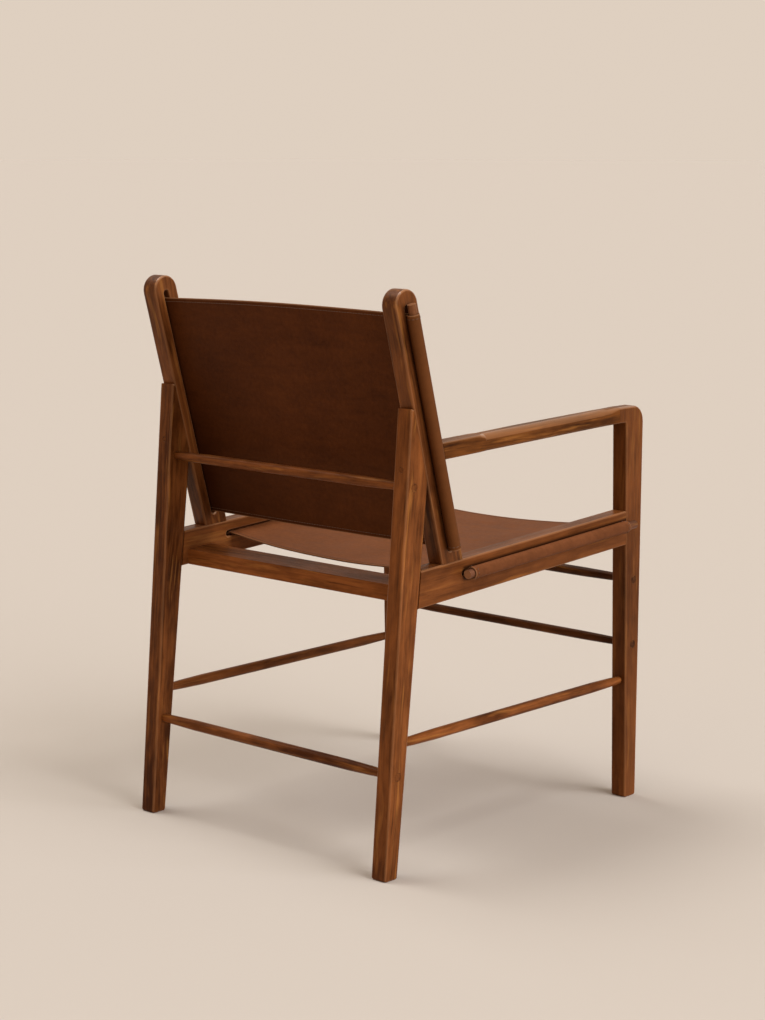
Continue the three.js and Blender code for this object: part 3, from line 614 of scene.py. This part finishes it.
def sew(shape, sheet, s, x, h, v, ahead, face):
    """Lays one stitch on the outer face of a sheet, or for -1 on its other face, in the way ahead."""
    proud = LEATHER / 2 + 0.00005
    hair = 1e-4
    lift = Vector((-ahead.y, ahead.x)) * face * proud
    middle = sheet.at(s, x, h, v, lift)
    tip = sheet.at(s, x + ahead.x * hair, h + ahead.y * hair, v, lift)
    turn = (tip - middle).to_track_quat("Z", "Y").to_matrix().to_4x4()
    bead = bmesh.ops.create_cone(shape, cap_ends=True, segments=6, radius1=THREAD_RADIUS,
                                 radius2=THREAD_RADIUS, depth=STITCH_LENGTH)["verts"]
    bmesh.ops.transform(shape, verts=bead, matrix=Matrix.Translation(middle) @ turn)


def stitch_piece(name, sheet, thread):
    """Rows of stitches inside the sheet's two free edges: all along its outer face, and between the boards
    on its other face."""
    margin = STITCH_INSET / sheet.length
    shape = bmesh.new()
    for (s0, x0, h0), (s1, x1, h1) in zip(sheet.columns, sheet.columns[1:]):
        faces = (1, -1) if h0 == 0.0 and h1 == 0.0 else (1,)
        ahead = Vector((x1 - x0, h1 - h0)).normalized()
        for k in range(math.ceil(s0 / STITCH_PITCH), math.ceil(s1 / STITCH_PITCH)):
            s = k * STITCH_PITCH
            t = (s - s0) / (s1 - s0)
            x = x0 + (x1 - x0) * t
            h = h0 + (h1 - h0) * t
            for v in (margin, 1 - margin):
                for face in faces:
                    sew(shape, sheet, s, x, h, v, ahead, face)
    for face in shape.faces:
        face.smooth = True
    mesh = bpy.data.meshes.new(name)
    shape.to_mesh(mesh)
    shape.free()
    mesh.materials.append(thread)
    piece = bpy.data.objects.new(name, mesh)
    bpy.context.scene.collection.objects.link(piece)
    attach(piece, "root")
    return piece


# Where the middle lines of the back's foot and the seat's rear end meet the boards, as (y, z), and the
# sheets' lengths along their slots. They are those of the part's own leather.
BACK_FOOT = (0.159740, 0.458354)
BACK_LENGTH = 0.346866
SEAT_REAR = (0.124019, 0.418729)
SEAT_LENGTH = 0.368895

# The back bows out to the rear, so its sag is below nought.
back_sheet = Sheet("back_dowel_left", BACK_FOOT, POST_LEAN, BACK_LENGTH, sag=-0.002, flatter=0.0,
                   crown=0.004)
seat_sheet = Sheet("seat_dowel_left", SEAT_REAR, RAIL_TURN, SEAT_LENGTH, sag=0.015, flatter=0.002,
                   crown=0.0)
# The back gets painted light on its loops and a painted shadow towards the sitter's left; the seat gets
# painted shade on the far part of its loops.
back_face = leather_face("back_leather_face", (0.040, 0.0096, 0.0022), (0.108, 0.0300, 0.0074), BACK_LENGTH,
                         loops_painted_light=0.34, loops_painted_shade=0.0, painted_shadow=0.75)
seat_face = leather_face("seat_leather_face", (0.104, 0.0330, 0.0110), (0.240, 0.0810, 0.0290), SEAT_LENGTH,
                         loops_painted_light=0.0, loops_painted_shade=0.3, painted_shadow=0.0)
hide_edge = cut_edge()
thread = waxed_thread()
for kind, sheet, face in (("back", back_sheet, back_face), ("seat", seat_sheet, seat_face)):
    piece = sheet_piece(f"{kind}_sling", sheet)
    piece.data.materials.append(face)
    piece.data.materials.append(hide_edge)
    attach(piece, "root")
    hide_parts(f"{kind}_leather")
    stitches = stitch_piece(f"{kind}_stitches", sheet, thread)

# Floor and light: a wide pale floor that runs out into a background of the tone that it has when lit, and
# soft studio light from the chair's right and above.
FLOOR_HALF = 150
FLOOR_TONE = (0.60, 0.54, 0.475, 1)
BACKGROUND_TONE = (0.737, 0.628, 0.527, 1)
FILL_TONE = (1.0, 0.81, 0.63, 1)
floor_mesh = bpy.data.meshes.new("floor")
ground = bmesh.new()
bmesh.ops.create_grid(ground, x_segments=1, y_segments=1, size=FLOOR_HALF)
ground.to_mesh(floor_mesh)
ground.free()
floor = bpy.data.objects.new("floor", floor_mesh)
bpy.context.scene.collection.objects.link(floor)
pale = bpy.data.materials.new("pale_floor")
pale.use_nodes = True
pale_shader = pale.node_tree.nodes["Principled BSDF"]
pale_shader.inputs["Base Color"].default_value = FLOOR_TONE
pale_shader.inputs["Roughness"].default_value = 0.8
pale_shader.inputs["Specular IOR Level"].default_value = 0.0
floor_mesh.materials.append(pale)

# The camera and reflections see the background, and the warm fill lights the chair from all round.
world = bpy.data.worlds.new("studio")
world.use_nodes = True
sky = world.node_tree
rays = node(sky, "ShaderNodeLightPath").outputs
seen = weighted(sky, ((rays["Is Camera Ray"], 1.0), (rays["Is Glossy Ray"], 1.0),
                      (rays["Is Transmission Ray"], 1.0)))
fill = sky.nodes["Background"]
fill.inputs["Color"].default_value = FILL_TONE
fill.inputs["Strength"].default_value = 0.36
beyond = node(sky, "ShaderNodeBackground", {"Color": BACKGROUND_TONE, "Strength": 1.0})
both = node(sky, "ShaderNodeMixShader", {0: seen, 1: fill.outputs[0], 2: beyond.outputs[0]})
feed(sky, sky.nodes["World Output"].inputs["Surface"], both.outputs[0])
bpy.context.scene.world = world


def sun(name, towards, width, strength, tint=(1, 1, 1)):
    """A soft lamp far off, that looks so many degrees wide."""
    light = bpy.data.lights.new(name, "SUN")
    light.angle = math.radians(width)
    light.energy = strength
    light.color = tint
    body = bpy.data.objects.new(name, light)
    body.rotation_mode = "QUATERNION"
    body.rotation_quaternion = Vector(towards).to_track_quat("-Z", "Y")
    bpy.context.scene.collection.objects.link(body)


sun("side", towards=(0.92, 0.06, -0.36), width=60, strength=2.8, tint=(0.98, 1.0, 1.07))
sun("top", towards=(-0.45, -0.10, -0.88), width=36, strength=1.3)
sun("rear", towards=(-0.15, -0.90, -0.35), width=60, strength=0.26, tint=(1, 0.74, 0.46))
sun("glint", towards=(0.50, 0.06, -0.86), width=16, strength=0.55)

# Camera: behind the chair and to its right, a little above the armrests. Its place, its angle and its lens
# are those that were worked out from the photograph.
CAMERA_PLACE = (-2.2563, 2.4802, 1.015)
CAMERA_YAW = math.radians(42.55)
CAMERA_PITCH = math.radians(9.31)
LENS_MM = 77.9
SENSOR_MM = 36
sight = Vector((
    math.sin(CAMERA_YAW) * math.cos(CAMERA_PITCH),
    -math.cos(CAMERA_YAW) * math.cos(CAMERA_PITCH),
    -math.sin(CAMERA_PITCH),
))
camera = bpy.data.objects.new("camera", bpy.data.cameras.new("camera"))
camera.data.sensor_width = SENSOR_MM
camera.data.lens = LENS_MM
camera.location = CAMERA_PLACE
camera.rotation_mode = "QUATERNION"
camera.rotation_quaternion = sight.to_track_quat("-Z", "Y")
bpy.context.scene.collection.objects.link(camera)
bpy.context.scene.camera = camera

bpy.context.scene.view_settings.view_transform = "Standard"
